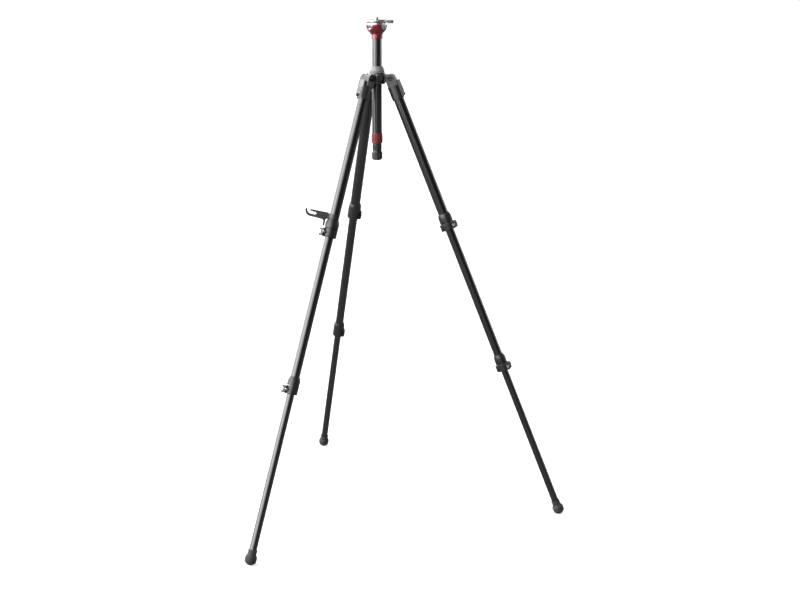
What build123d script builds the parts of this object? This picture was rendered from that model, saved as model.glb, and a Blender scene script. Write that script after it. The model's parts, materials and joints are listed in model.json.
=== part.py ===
from build123d import *
import math
import os

# Camera tripod with three telescopic legs and a levelling centre column. Millimetres.
# Origin on the floor under the column, +Z up, rear leg towards +Y.

# ---------------------------------------------------------------- driving dimensions
# Stance
leg_azimuths = {"left": 210.0, "right": -30.0, "rear": 90.0}
leg_angle = 21.8            # from the vertical, at the working stance
hinge_radius = 39.2         # leg hinges from the column axis
upper_stage = 454.5         # along the leg, hinge to the bottom of the upper clamp
middle_stage = 440.1        # upper clamp's bottom to the lower clamp's bottom
lower_stage = 469.3         # lower clamp's bottom to the tip of the foot

# Fits
running_gap = 0.05          # radial, between pieces that slide or turn on each other
free_gap = 0.3              # between moving pieces that never bear on each other

# Leg tubes
upper_tube_radius = 14.6
tube_wall = 1.2
bush_wall = 0.95            # plastic sleeve that guides a tube's top in the tube above
bush_length = 22.0
bush_lip = 2.0
tube_overlap = 30.0         # a tube's top above the end of the tube that it slides in

# Leg clamps
clamp_wall = 4.4            # collar outside the tube that it is fixed to
clamp_taper = 10.0          # conical top of the collar
fixed_band = 25.0           # upper band, glued on the outer tube
squeeze_band = 22.0         # lower band, squeezed on the inner tube by the lever
band_slot = 2.0             # slot between the bands
split_gap = 2.0             # split through the lower band, between its ears
split_angle = -20.0         # split's direction round the leg, from the outward side
bridge_angle = 100.0        # arc behind the tube where the two bands stay joined
ear_thickness = 5.0
ear_height = 20.0
ear_stand_off = 4.0         # clamp screw outside the collar
ear_rounding = 4.0
clamp_screw_radius = 2.0
clamp_screw_gap = 0.1       # radial, in the ears
nut_width = 8.0             # across flats
nut_height = 3.5
eye_radius = 4.0
eye_height = 8.0
lever_pin_radius = 1.5
lever_barrel_radius = 4.8
lever_barrel_gap = 0.2      # between the barrel and the ear
lever_height = 20.0
lever_thickness = 3.4
lever_sweep = 92.0          # arc of the lever's arm round the collar
lever_lift = 0.7            # arm's inner face outside the collar
lever_tip_flare = 1.5

# Feet
foot_radius = 16.5
foot_neck_radius = 12.2
foot_neck_height = 12.0
foot_length = 42.0          # tip to the top of the neck
foot_floor = 17.0           # rubber between the tube's end and the tip

# Leg knuckles and the pivots in the shoulder
lug_thickness = 20.0
lug_radius = 11.0
lug_clearance = 0.6         # round the lug in the knuckle's slot
pivot_radius = 4.0
pivot_head_radius = 7.5
pivot_head_height = 3.0
pivot_head_gap = 0.2        # between a cap and the knuckle's cheek
cheek_thickness = 6.5
cheek_radius = 12.0
knuckle_roof = 20.0         # below the hinge: top of the socket
socket_depth = 34.0         # tube inside the knuckle
roof_thickness = 7.0
socket_wall = 3.2
knuckle_inner_reach = 14.0  # knuckle's neck on the side of the column

# Leg angle catches
catch_width = 14.0
catch_thickness = 5.0
catch_stand_off = 1.9       # outside the upper tube
catch_length = 40.0
catch_top = 10.0            # below the hinge
catch_tooth_length = 12.0
catch_tooth_height = 4.0
catch_travel = 6.0
catch_grip_height = 1.6
catch_grip_pitch = 3.0
catch_grip_count = 6
catch_rail = 3.2            # knuckle's rails on each side of the catch

# Shoulder
hub_wall = 8.5
hub_below = 16.0            # hub's bottom below the hinges
hub_above = 15.0            # hub's top above the hinges
liner_wall = 1.4
liner_flange_width = 2.55
liner_flange_thickness = 2.0
collar_wall = 2.6           # outside the liner's flange
collar_rim = 6.0            # straight part under the cone
collar_top_wall = 2.3
collar_height = 17.5

# Column lock
lock_azimuth = -102.0
lock_above = 3.0            # lock knob's axis above the hinges
lock_boss_radius = 8.0
lock_boss_length = 7.0      # outside the hub
lock_stem_radius = 4.0
lock_knob_radius = 9.5
lock_knob_gap = 5.0         # between the boss and the knob
lock_knob_length = 13.0
lock_flutes = 8
lock_flute_radius = 2.2

# Centre column
column_radius = 14.0
column_wall = 1.5
column_bottom = 1090.0
column_in_bowl = 9.0
plug_depth = 16.0
plug_flange = 2.5
rod_radius = 4.0
safety_ring_wall = 1.45
safety_ring_height = 27.5

# Levelling knob under the column
knob_gap = 1.0              # under the column's end plug
knob_waist_radius = 12.5
knob_waist_height = 21.5
knob_cone_height = 4.0
knob_flare_radius = 15.0
knob_flare_height = 21.0
knob_flutes = 12
knob_flute_radius = 1.6
rod_in_knob = 30.0

# Levelling head
ball_radius = 25.0
ball_wall = 6.0
ball_centre_height = 1415.0
seat_wall = 1.4             # plastic seat between the ball and the bowl
seat_low_angle = 34.0       # from straight down
seat_high_angle = 62.0
rod_hole_angle = 28.0       # half angle of the opening under the ball
mushroom_angle = 45.0
bowl_floor = 13.4           # under the seat, down to the bowl's base
bowl_base_wall = 2.4
bowl_base_height = 10.0
bowl_belly_angle = 33.9     # from straight down, about the ball's centre
bowl_belly_wall = 5.6
bowl_base_hollow = 1.2      # depth of the hollow between base and belly
bowl_side_bulge = 2.5       # bulge of the side between belly and rim
bowl_rim_drop = 1.9         # below the ball's centre
bowl_rim_wall = 1.75
bowl_arm_azimuth = -110.0
bowl_notch_radius = 15.5
bowl_notch_drop = 1.5
plate_rise = 2.0            # plate's underside above the ball's centre
plate_radius = 31.0
plate_thickness = 8.0
plate_dish = 3.5            # rise of the underside towards the rim, clear of the bowl when tilted
pad_radius = 29.0
pad_thickness = 1.0
pad_hole_radius = 8.0
camera_screw_radius = 4.7625    # 3/8 inch camera thread
camera_screw_reach = 8.5        # above the plate
camera_screw_head_radius = 8.0
camera_screw_head_height = 3.0
screw_shoulder_radius = 7.0
screw_shoulder_height = 1.6

# Bubble level on the plate's ear
level_azimuth = -20.0
level_reach = 46.5
level_width = 19.0
vial_distance = 38.0
vial_radius = 7.0
vial_depth = 6.0
vial_proud = 0.4            # above the plate's top

# Accessory clip on the left leg
clip_gap = 0.5              # between the clip's band and the clamp
clip_stem_gap = 2.0         # between the clip's stem and the clamp's collar
clip_angle = -50.0          # jaw's direction round the leg, from the outward side
clip_band_wall = 2.6
clip_band_height = 13.0
clip_band_opening = 70.0    # snap opening behind the tube
clip_thickness = 8.0

# ---------------------------------------------------------------- worked-out sizes
middle_tube_radius = upper_tube_radius - tube_wall - running_gap - bush_wall
lower_tube_radius = middle_tube_radius - tube_wall - running_gap - bush_wall
leg_length = upper_stage + middle_stage + lower_stage
hinge_height = (leg_length - foot_radius) * math.cos(math.radians(leg_angle)) + foot_radius

tube_top = knuckle_roof + roof_thickness
upper_tube_end = upper_stage - squeeze_band - band_slot
middle_tube_top = upper_tube_end - tube_overlap
lower_clamp_end = upper_stage + middle_stage
middle_tube_end = lower_clamp_end - squeeze_band - band_slot
lower_tube_top = middle_tube_end - tube_overlap
lower_tube_end = leg_length - foot_floor

socket_radius = upper_tube_radius + socket_wall
socket_end = tube_top + socket_depth
slot_half_width = lug_thickness / 2 + free_gap
fork_half_width = slot_half_width + cheek_thickness
catch_inner_face = upper_tube_radius + catch_stand_off
catch_outer_face = catch_inner_face + catch_thickness
rail_half_width = catch_width / 2 + free_gap + catch_rail

upper_clamp_top = upper_tube_end - fixed_band

liner_outer_radius = column_radius + running_gap + liner_wall
liner_bore_radius = liner_outer_radius + running_gap
liner_flange_radius = liner_outer_radius + liner_flange_width
hub_radius = liner_bore_radius + hub_wall
lock_boss_reach = hub_radius + lock_boss_length
lock_knob_start = lock_boss_reach + lock_knob_gap
seat_outer_radius = ball_radius + running_gap + seat_wall
bowl_seat_radius = seat_outer_radius + running_gap
ball_cavity_radius = ball_radius - ball_wall
mushroom_radius = ball_cavity_radius - running_gap
bowl_bottom = ball_centre_height - bowl_seat_radius - bowl_floor
column_top = bowl_bottom + column_in_bowl
plate_bottom = ball_centre_height + plate_rise


def polar(radius, angle):
    """A point at a radius and an angle in degrees."""
    return (radius * math.cos(math.radians(angle)), radius * math.sin(math.radians(angle)))


def turned(*points, mode=Mode.ADD):
    """Turn a closed outline of (radius, height) points round the Z axis."""
    with BuildSketch(Plane.XZ) as outline:
        with BuildLine():
            Polyline(*points, close=True)
        make_face()
    revolve(outline.sketch, axis=Axis.Z, mode=mode)


def ring(inner, outer, low, high, mode=Mode.ADD):
    """A plain ring between two radii and two heights."""
    turned((inner, low), (outer, low), (outer, high), (inner, high), mode=mode)


def save(piece, name):
    """Label a finished piece and write it as its own STEP file."""
    piece.label = name
    export_step(piece, f"parts/{name}.step")


os.makedirs("parts", exist_ok=True)

# ---------------------------------------------------------------- shoulder
# Hub with three lugs, bored for the column's liner, with the column lock's boss.
lock_level = hinge_height + lock_above
lock_plane = Plane(
    origin=(0, 0, lock_level),
    x_dir=(-math.sin(math.radians(lock_azimuth)), math.cos(math.radians(lock_azimuth)), 0),
    z_dir=(math.cos(math.radians(lock_azimuth)), math.sin(math.radians(lock_azimuth)), 0),
)
hub_bottom = hinge_height - hub_below
hub_top = hinge_height + hub_above

with BuildPart() as shoulder_casting:
    turned(
        (liner_bore_radius, hub_bottom), (hub_radius - 3, hub_bottom), (hub_radius, hub_bottom + 3),
        (hub_radius, hub_top - 2), (hub_radius - 2, hub_top), (liner_bore_radius, hub_top),
    )
    for azimuth in leg_azimuths.values():
        outward = Vector(*polar(1, azimuth), 0)
        across = Vector(*polar(1, azimuth - 90), 0)
        with BuildSketch(Plane(origin=(0, 0, hinge_height), x_dir=outward, z_dir=across)):
            with Locations((hinge_radius, 0)):
                Circle(lug_radius)
            with Locations(((hub_radius + hinge_radius) / 2 - 2, 0)):
                Rectangle(hinge_radius - hub_radius + 4, 2 * lug_radius)
            with Locations((hinge_radius, 0)):
                Circle(pivot_radius, mode=Mode.SUBTRACT)
        extrude(amount=lug_thickness / 2, both=True)
    with BuildSketch(lock_plane.offset(hub_radius - 4)):
        Circle(lock_boss_radius)
    extrude(amount=lock_boss_length + 4)
    with BuildSketch(lock_plane):
        Circle(lock_stem_radius + free_gap)
    extrude(amount=lock_boss_reach, mode=Mode.SUBTRACT)
    ring(0, liner_bore_radius, hub_bottom - 1, hub_top + 1, mode=Mode.SUBTRACT)
save(shoulder_casting.part, "shoulder_casting")

# Conical cap that holds the liner's flange down in the hub.
flange_top = hub_top + liner_flange_thickness
column_clear_radius = column_radius + free_gap
collar_base_radius = liner_flange_radius + free_gap + collar_wall
collar_top_radius = column_clear_radius + collar_top_wall
with BuildPart() as collar_ring:
    turned(
        (column_clear_radius, flange_top + free_gap), (liner_flange_radius + free_gap, flange_top + free_gap),
        (liner_flange_radius + free_gap, hub_top), (collar_base_radius, hub_top),
        (collar_base_radius, hub_top + collar_rim), (collar_top_radius, hub_top + collar_height),
        (column_clear_radius, hub_top + collar_height),
    )
save(collar_ring.part, "collar_ring")

# Plastic liner that the column slides in.
with BuildPart() as column_liner:
    turned(
        (column_radius + running_gap, hub_bottom), (liner_outer_radius, hub_bottom),
        (liner_outer_radius, hub_top + running_gap), (liner_flange_radius, hub_top + running_gap),
        (liner_flange_radius, flange_top), (column_radius + running_gap, flange_top),
    )
save(column_liner.part, "column_liner")

# Fluted knob with the stem that squeezes the liner on the column.
with BuildPart() as column_lock_knob:
    with BuildSketch(lock_plane.offset(liner_bore_radius + 0.5)):
        Circle(lock_stem_radius)
    extrude(amount=lock_knob_start - liner_bore_radius - 0.5)
    with BuildSketch(lock_plane.offset(lock_knob_start)):
        Circle(lock_knob_radius)
        with PolarLocations(lock_knob_radius + 1, lock_flutes):
            Circle(lock_flute_radius, mode=Mode.SUBTRACT)
    extrude(amount=lock_knob_length)
    outer_face = column_lock_knob.faces().sort_by(Axis((0, 0, lock_level), lock_plane.z_dir))[-1]
    chamfer(outer_face.edges(), length=0.8)
save(column_lock_knob.part, "column_lock_knob")

# Three pivot bolts, one through each lug and its knuckle, with a round cap at each end.
with BuildPart() as leg_pivot_bolts:
    cap_start = fork_half_width + pivot_head_gap
    for azimuth in leg_azimuths.values():
        across = Vector(*polar(1, azimuth - 90), 0)
        hinge_point = Vector(*polar(hinge_radius, azimuth), hinge_height)
        bolt_plane = Plane(origin=hinge_point, x_dir=(0, 0, 1), z_dir=across)
        with BuildSketch(bolt_plane):
            Circle(pivot_radius)
        extrude(amount=cap_start, both=True)
        for side in (1, -1):
            cap_plane = Plane(origin=hinge_point + across * side * cap_start, x_dir=(0, 0, 1),
                              z_dir=across * side)
            with BuildSketch(cap_plane):
                Circle(pivot_head_radius)
            extrude(amount=pivot_head_height, taper=25)
save(leg_pivot_bolts.part, "leg_pivot_bolts")

# ---------------------------------------------------------------- centre column
with BuildPart() as column_tube:
    ring(column_radius - column_wall, column_radius, column_bottom, column_top)
save(column_tube.part, "column_tube")

with BuildPart() as column_end_plug:
    ring(rod_radius, column_radius - column_wall, column_bottom, column_bottom + plug_depth)
    ring(rod_radius, column_radius, column_bottom - plug_flange, column_bottom)
save(column_end_plug.part, "column_end_plug")

plug_bottom = column_bottom - plug_flange
knob_top = plug_bottom - knob_gap
knob_cone_top = knob_top - knob_waist_height
knob_flare_top = knob_cone_top - knob_cone_height
knob_bottom = knob_flare_top - knob_flare_height

# Rod that pulls the ball into the bowl, with a spherical mushroom head inside the ball.
mushroom_low = polar(mushroom_radius, mushroom_angle - 90)
with BuildPart() as draw_rod:
    ring(0, rod_radius, knob_top - rod_in_knob, ball_centre_height - mushroom_radius + 1)
    with BuildSketch(Plane.XZ) as mushroom_outline:
        with BuildLine():
            CenterArc((0, ball_centre_height), mushroom_radius, -90, mushroom_angle)
            Polyline(
                (mushroom_low[0], ball_centre_height + mushroom_low[1]),
                (0, ball_centre_height + mushroom_low[1]),
                (0, ball_centre_height - mushroom_radius),
            )
        make_face()
    revolve(axis=Axis.Z)
save(draw_rod.part, "draw_rod")

# Ring round the column's foot that guards the levelling knob.
safety_ring_inner = column_radius + running_gap
with BuildPart() as safety_ring:
    ring(safety_ring_inner, safety_ring_inner + safety_ring_wall, plug_bottom,
         plug_bottom + safety_ring_height)
    chamfer(safety_ring.edges().group_by(Axis.Z)[-1].sort_by(SortBy.RADIUS)[-1], length=0.8)
save(safety_ring.part, "safety_ring")

# Levelling knob, turned on the rod's lower end.
with BuildPart() as levelling_knob:
    turned(
        (0, knob_bottom), (knob_flare_radius - 4, knob_bottom), (knob_flare_radius, knob_bottom + 4),
        (knob_flare_radius, knob_flare_top), (knob_waist_radius, knob_cone_top),
        (knob_waist_radius, knob_top), (0, knob_top),
    )
    fillet(levelling_knob.edges().group_by(Axis.Z)[0], radius=2.5)
    with BuildSketch(Plane.XY.offset(knob_bottom - 1)):
        with PolarLocations(knob_flare_radius + 0.8, knob_flutes):
            Circle(knob_flute_radius)
    extrude(amount=knob_cone_top - knob_bottom, mode=Mode.SUBTRACT)
    ring(0, rod_radius + running_gap, knob_top - rod_in_knob - free_gap, knob_top + 1, mode=Mode.SUBTRACT)
save(levelling_knob.part, "levelling_knob")

# ---------------------------------------------------------------- levelling head
# Die-cast bowl on the column's top: a spherical seat inside three raised arms.
bowl_base_radius = column_radius + bowl_base_wall
bowl_belly_height = ball_centre_height - bowl_seat_radius * math.cos(math.radians(bowl_belly_angle))
bowl_belly_radius = bowl_seat_radius * math.sin(math.radians(bowl_belly_angle)) + bowl_belly_wall
bowl_rim_radius = bowl_seat_radius + bowl_rim_wall
bowl_rim_height = ball_centre_height - bowl_rim_drop
with BuildPart() as levelling_bowl:
    with BuildSketch(Plane.XZ) as bowl_outline:
        with BuildLine():
            base_corner = (bowl_base_radius, bowl_bottom + bowl_base_height)
            belly = (bowl_belly_radius, bowl_belly_height)
            rim = (bowl_rim_radius, bowl_rim_height)
            Polyline((0, bowl_bottom), (bowl_base_radius, bowl_bottom), base_corner)
            SagittaArc(base_corner, belly, bowl_base_hollow)
            SagittaArc(belly, rim, -bowl_side_bulge)
            Polyline(rim, (0, bowl_rim_height), (0, bowl_bottom))
        make_face()
    revolve(axis=Axis.Z)
    with Locations((0, 0, ball_centre_height)):
        Sphere(bowl_seat_radius, mode=Mode.SUBTRACT)
    ring(0, column_radius, bowl_bottom - 1, column_top, mode=Mode.SUBTRACT)
    ring(0, rod_radius + free_gap, bowl_bottom, ball_centre_height, mode=Mode.SUBTRACT)
    for notch in range(3):
        notch_azimuth = bowl_arm_azimuth + 60 + 120 * notch
        outward = Vector(*polar(1, notch_azimuth), 0)
        notch_centre = (0, 0, ball_centre_height - bowl_notch_drop)
        with BuildSketch(Plane(origin=notch_centre, x_dir=(0, 0, 1), z_dir=outward)):
            Circle(bowl_notch_radius)
        extrude(amount=bowl_rim_radius + 2, mode=Mode.SUBTRACT)
save(levelling_bowl.part, "levelling_bowl")

# Plastic seat ring between the bowl and the ball.
seat_inner_radius = ball_radius + running_gap
with BuildPart() as ball_seat_liner:
    with BuildSketch(Plane.XZ) as seat_outline:
        with BuildLine():
            seat_sweep = seat_high_angle - seat_low_angle
            inner_arc = CenterArc((0, ball_centre_height), seat_inner_radius, seat_low_angle - 90, seat_sweep)
            outer_arc = CenterArc((0, ball_centre_height), seat_outer_radius, seat_low_angle - 90, seat_sweep)
            Line(inner_arc @ 0, outer_arc @ 0)
            Line(inner_arc @ 1, outer_arc @ 1)
        make_face()
    revolve(axis=Axis.Z)
save(ball_seat_liner.part, "ball_seat_liner")

# Half ball and camera plate in one casting, open below for the rod.
plate_top = plate_bottom + plate_thickness
with BuildPart() as levelling_ball:
    with Locations((0, 0, ball_centre_height)):
        Sphere(ball_radius)
    ring(0, ball_radius + 1, plate_bottom, ball_centre_height + ball_radius + 1, mode=Mode.SUBTRACT)
    with Locations((0, 0, ball_centre_height)):
        Sphere(ball_cavity_radius, mode=Mode.SUBTRACT)
    turned(
        (0, ball_centre_height), (ball_cavity_radius + 1, ball_centre_height), (ball_radius - 1, plate_bottom),
        (plate_radius - 2, plate_bottom + plate_dish), (plate_radius, plate_bottom + plate_dish + 1),
        (plate_radius, plate_top - 0.8),
        (plate_radius - 0.8, plate_top), (0, plate_top),
    )
    hole_mouth = ball_radius * math.tan(math.radians(rod_hole_angle))
    turned((0, ball_centre_height), (hole_mouth, ball_centre_height - ball_radius),
           (hole_mouth, ball_centre_height - ball_radius - 3), (0, ball_centre_height - ball_radius - 3),
           mode=Mode.SUBTRACT)
    ring(0, camera_screw_radius, ball_centre_height - 1, plate_top + 1, mode=Mode.SUBTRACT)
save(levelling_ball.part, "levelling_ball")

with BuildPart() as plate_pad:
    ring(pad_hole_radius, pad_radius, plate_top, plate_top + pad_thickness)
save(plate_pad.part, "plate_pad")

# Camera screw, held from inside the ball by its head.
with BuildPart() as camera_screw:
    ring(0, camera_screw_head_radius, ball_centre_height - camera_screw_head_height, ball_centre_height)
    ring(0, camera_screw_radius, ball_centre_height, plate_top + camera_screw_reach)
    ring(0, screw_shoulder_radius, plate_top, plate_top + screw_shoulder_height)
    chamfer(camera_screw.edges().group_by(Axis.Z)[-1], length=0.8)
save(camera_screw.part, "camera_screw")

# Ear on the plate's edge that holds the round bubble level.
ear_across = Vector(*polar(1, level_azimuth), 0)
ear_plane = Plane(origin=(0, 0, plate_bottom), x_dir=ear_across, z_dir=(0, 0, 1))
with BuildPart() as bubble_level_housing:
    with BuildSketch(ear_plane):
        with Locations(((level_reach - level_width / 2) / 2, 0)):
            Rectangle(level_reach - level_width / 2, level_width)
        with Locations((level_reach - level_width / 2, 0)):
            Circle(level_width / 2)
        Circle(plate_radius, mode=Mode.SUBTRACT)
    extrude(amount=plate_thickness)
    with BuildSketch(ear_plane.offset(plate_thickness - vial_depth)):
        with Locations((vial_distance, 0)):
            Circle(vial_radius)
    extrude(amount=vial_depth, mode=Mode.SUBTRACT)
save(bubble_level_housing.part, "bubble_level_housing")

with BuildPart() as level_vial:
    with BuildSketch(ear_plane.offset(plate_thickness - vial_depth)):
        with Locations((vial_distance, 0)):
            Circle(vial_radius)
    extrude(amount=vial_depth + vial_proud)
    fillet(level_vial.edges().group_by(Axis.Z)[-1], radius=0.8)
save(level_vial.part, "level_vial")

# ---------------------------------------------------------------- leg pieces
# Made once in the leg's own frame: hinge at the origin, +Z up along the leg,
# +X outwards, +Y anticlockwise round the column.

# Knuckle: fork over the lug, guide for the angle catch and socket for the upper tube.
with BuildPart() as knuckle:
    ring(0, socket_radius, -socket_end, -knuckle_roof)
    with BuildSketch(Plane.XZ):
        Circle(cheek_radius)
        with Locations((0, -knuckle_roof / 2 - 2)):
            Rectangle(2 * knuckle_inner_reach, knuckle_roof + 4, align=(Align.CENTER, Align.CENTER))
    extrude(amount=fork_half_width, both=True)
    with BuildSketch(Plane.XY.offset(-socket_end + 4)):
        with Locations((catch_outer_face / 2, 0)):
            Rectangle(catch_outer_face, 2 * rail_half_width)
    extrude(amount=socket_end - 4 - lug_radius - 1)
    # slot for the lug, open above and below the hinge's inner side
    with BuildSketch(Plane.XZ):
        Circle(lug_radius + lug_clearance)
        with Locations((0, cheek_radius)):
            Rectangle(4 * cheek_radius, 2 * cheek_radius)
        with Locations((-2 * cheek_radius, 0)):
            Rectangle(4 * cheek_radius, 2 * (lug_radius + lug_clearance))
    extrude(amount=slot_half_width, both=True, mode=Mode.SUBTRACT)
    # channel for the catch and recess for its tooth
    with BuildSketch(Plane.XZ):
        with Locations((catch_inner_face - free_gap, -socket_end - 1)):
            Rectangle(catch_thickness + 3, socket_end + 1, align=(Align.MIN, Align.MIN))
        with Locations((catch_inner_face - catch_tooth_length - free_gap, -lug_radius)):
            Rectangle(catch_tooth_length + 3, catch_tooth_height + catch_travel + 2 * free_gap + lug_clearance,
                      align=(Align.MIN, Align.MAX))
    extrude(amount=catch_width / 2 + free_gap, both=True, mode=Mode.SUBTRACT)
    with BuildSketch(Plane.XZ):
        Circle(pivot_radius + running_gap)
    extrude(amount=fork_half_width + 1, both=True, mode=Mode.SUBTRACT)
    ring(0, upper_tube_radius, -socket_end - 1, -tube_top, mode=Mode.SUBTRACT)

# Angle catch: a sliding plate with a tooth under the lug and a ribbed thumb grip.
with BuildPart() as angle_catch:
    with BuildSketch(Plane.XZ):
        with Locations((catch_inner_face, -catch_top)):
            Rectangle(catch_thickness, catch_length, align=(Align.MIN, Align.MAX))
        with Locations((catch_inner_face - catch_tooth_length, -lug_radius - lug_clearance)):
            Rectangle(catch_tooth_length + 1, catch_tooth_height, align=(Align.MIN, Align.MAX))
        for grip in range(catch_grip_count):
            grip_level = -catch_top - catch_length + 3 + grip * catch_grip_pitch
            with Locations((catch_outer_face, grip_level)):
                Rectangle(catch_grip_height, catch_grip_pitch / 2, align=(Align.MIN, Align.MIN))
    extrude(amount=catch_width / 2, both=True)


def leg_tube(radius, top, end):
    """A leg tube between two distances below the hinge."""
    with BuildPart() as tube:
        ring(radius - tube_wall, radius, -end, -top)
    return tube.part


def guide_bush(tube_radius, top):
    """The sleeve on a tube's top that slides in the tube above."""
    with BuildPart() as bush:
        ring(tube_radius, tube_radius + bush_wall, -top - bush_length, -top)
        ring(tube_radius - tube_wall, tube_radius + bush_wall, -top, -top + bush_lip)
    return bush.part


def clamp_frame(height):
    """The clamp's own plane: X through the split, Z up along the leg."""
    return Plane(origin=(0, 0, -height), x_dir=(*polar(1, split_angle), 0), z_dir=(0, 0, 1))


def lever_clamp(outer_tube, inner_tube, end):
    """Split collar on a tube's end; its lower band grips the tube that slides inside."""
    collar_radius = outer_tube + clamp_wall
    screw_distance = collar_radius + ear_stand_off
    band_top = squeeze_band + band_slot
    clamp_height = band_top + fixed_band
    base = clamp_frame(end)
    with BuildPart() as clamp:
        turned(
            (outer_tube, -end + band_top), (inner_tube + running_gap, -end + band_top),
            (inner_tube + running_gap, -end), (collar_radius - 1, -end), (collar_radius, -end + 1),
            (collar_radius, -end + clamp_height - clamp_taper),
            (outer_tube + 1.4, -end + clamp_height), (outer_tube, -end + clamp_height),
        )
        with BuildSketch(base.offset((squeeze_band - ear_height) / 2)):
            with Locations((inner_tube + 1.5, 0)):
                Rectangle(screw_distance + ear_rounding - inner_tube - 1.5,
                          split_gap + 2 * ear_thickness, align=(Align.MIN, Align.CENTER))
        extrude(amount=ear_height)
        ring(0, inner_tube + running_gap, -end - 1, -end + band_top, mode=Mode.SUBTRACT)
        # slot between the bands, left uncut behind the tube
        with BuildSketch(base.offset(squeeze_band)):
            Circle(collar_radius + 1)
            with BuildLine():
                reach = 2 * collar_radius
                Polyline((0, 0), polar(reach, 180 - bridge_angle / 2), (-reach, 0),
                         polar(reach, 180 + bridge_angle / 2), close=True)
            make_face(mode=Mode.SUBTRACT)
        extrude(amount=band_slot, mode=Mode.SUBTRACT)
        with BuildSketch(base.offset(-1)):
            Rectangle(2 * screw_distance, split_gap, align=(Align.MIN, Align.CENTER))
        extrude(amount=squeeze_band + 1, mode=Mode.SUBTRACT)
        with BuildSketch(clamp_screw_plane(base, screw_distance)):
            Circle(clamp_screw_radius + clamp_screw_gap)
        extrude(amount=split_gap / 2 + ear_thickness + 1, both=True, mode=Mode.SUBTRACT)
    return clamp.part


def clamp_screw_plane(base, screw_distance):
    """Plane of the split at the middle of the ears; the clamp screw is square to it."""
    centre = base.origin + base.x_dir * screw_distance + Vector(0, 0, squeeze_band / 2)
    return Plane(origin=centre, x_dir=base.x_dir, z_dir=base.y_dir * -1)


def lever_pivot(outer_tube, end):
    """Where the lever turns: past the ear on the split's clockwise side."""
    base = clamp_frame(end)
    screw_distance = outer_tube + clamp_wall + ear_stand_off
    pivot_offset = split_gap / 2 + ear_thickness + lever_barrel_radius + lever_barrel_gap
    origin = base.origin + base.x_dir * screw_distance - base.y_dir * pivot_offset
    return Plane(origin=origin, x_dir=base.x_dir, z_dir=(0, 0, 1))


def clamp_screw(outer_tube, end):
    """Screw through both ears, its eye in the lever's fork and a nut at the other end."""
    screw_distance = outer_tube + clamp_wall + ear_stand_off
    split_plane = clamp_screw_plane(clamp_frame(end), screw_distance)
    pivot = lever_pivot(outer_tube, end)
    ear_face = split_gap / 2 + ear_thickness
    middle = squeeze_band / 2
    with BuildPart() as screw:
        with BuildSketch(split_plane.offset(-ear_face - nut_height - 1)):
            Circle(clamp_screw_radius)
        extrude(amount=2 * ear_face + nut_height + 1 + lever_barrel_radius)
        with BuildSketch(split_plane.offset(-ear_face - nut_height)):
            RegularPolygon(nut_width / 2, 6, major_radius=False)
        extrude(amount=nut_height)
        with BuildSketch(pivot.offset(middle - eye_height / 2)):
            Circle(eye_radius)
        extrude(amount=eye_height)
        with BuildSketch(pivot.offset(middle - lever_height / 2)):
            Circle(lever_pin_radius)
        extrude(amount=lever_height)
    return screw.part


def flip_lever(outer_tube, end):
    """Fork on the pivot pin and an arm that lies round the collar."""
    collar_radius = outer_tube + clamp_wall
    base = clamp_frame(end)
    pivot = lever_pivot(outer_tube, end)
    low = (squeeze_band - lever_height) / 2
    arm_inner = collar_radius + lever_lift
    arm_outer = arm_inner + lever_thickness
    pivot_local = base.to_local_coords(pivot.origin)
    pivot_angle = math.degrees(math.atan2(pivot_local.Y, pivot_local.X))
    arm_start = pivot_angle - 6
    arm_end = arm_start - lever_sweep
    with BuildPart() as lever:
        with BuildSketch(base.offset(low)):
            with BuildLine():
                inner = CenterArc((0, 0), arm_inner, arm_start, arm_end - arm_start)
                outer = CenterArc((0, 0), arm_outer, arm_start, arm_end - arm_start)
                Line(inner @ 0, outer @ 0)
                tip = polar(arm_outer + lever_tip_flare, arm_end - 6)
                Line(inner @ 1, tip)
                Line(tip, outer @ 1)
            make_face()
            with Locations((pivot_local.X, pivot_local.Y)):
                Circle(lever_barrel_radius)
        extrude(amount=lever_height)
        with BuildSketch(pivot.offset((squeeze_band - eye_height) / 2 - free_gap)):
            Circle(lever_barrel_radius + 1.2)
        extrude(amount=eye_height + 2 * free_gap, mode=Mode.SUBTRACT)
        with BuildSketch(pivot.offset(-1)):
            Circle(lever_pin_radius + running_gap)
        extrude(amount=squeeze_band + 2, mode=Mode.SUBTRACT)
    return lever.part


# Rubber foot, round underneath so that it stands at any leg angle.
ball_level = -leg_length + foot_radius
neck_top = -leg_length + foot_length
with BuildPart() as foot:
    with BuildSketch(Plane.XZ):
        with BuildLine():
            CenterArc((0, ball_level), foot_radius, -90, 90)
            Polyline(
                (foot_radius, ball_level), (foot_radius, ball_level + 6),
                (foot_neck_radius, neck_top - foot_neck_height), (foot_neck_radius, neck_top),
                (0, neck_top), (0, -leg_length),
            )
        make_face()
    revolve(axis=Axis.Z)
    ring(0, lower_tube_radius, -lower_tube_end, neck_top + 1, mode=Mode.SUBTRACT)

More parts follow.
